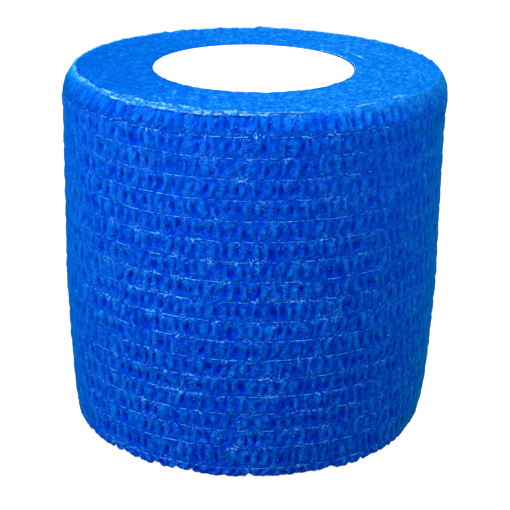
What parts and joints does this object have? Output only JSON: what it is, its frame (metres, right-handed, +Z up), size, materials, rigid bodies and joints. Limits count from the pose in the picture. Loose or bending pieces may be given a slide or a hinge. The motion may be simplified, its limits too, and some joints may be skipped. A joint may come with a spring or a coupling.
{
  "type": "cohesive bandage roll",
  "caption": "Elastic crinkled web wound on a white tube, with rows of thin yarns round its face, standing on one end.",
  "frame": {"origin": "on the roll's axis, at the flat foot that it stands on", "axes": "+Z up the roll's axis; +X to the right and -Y towards the viewer in the reference view; the web's cut end is at +Y"},
  "size_m": [0.0531, 0.0534, 0.05],
  "materials": {
    "cloth": "matte crinkled nonwoven",
    "tube": "matte"
  },
  "bodies": {
    "root": {"bandage_roll": "cloth", "core_tube": "tube"}
  },
  "joints": []
}
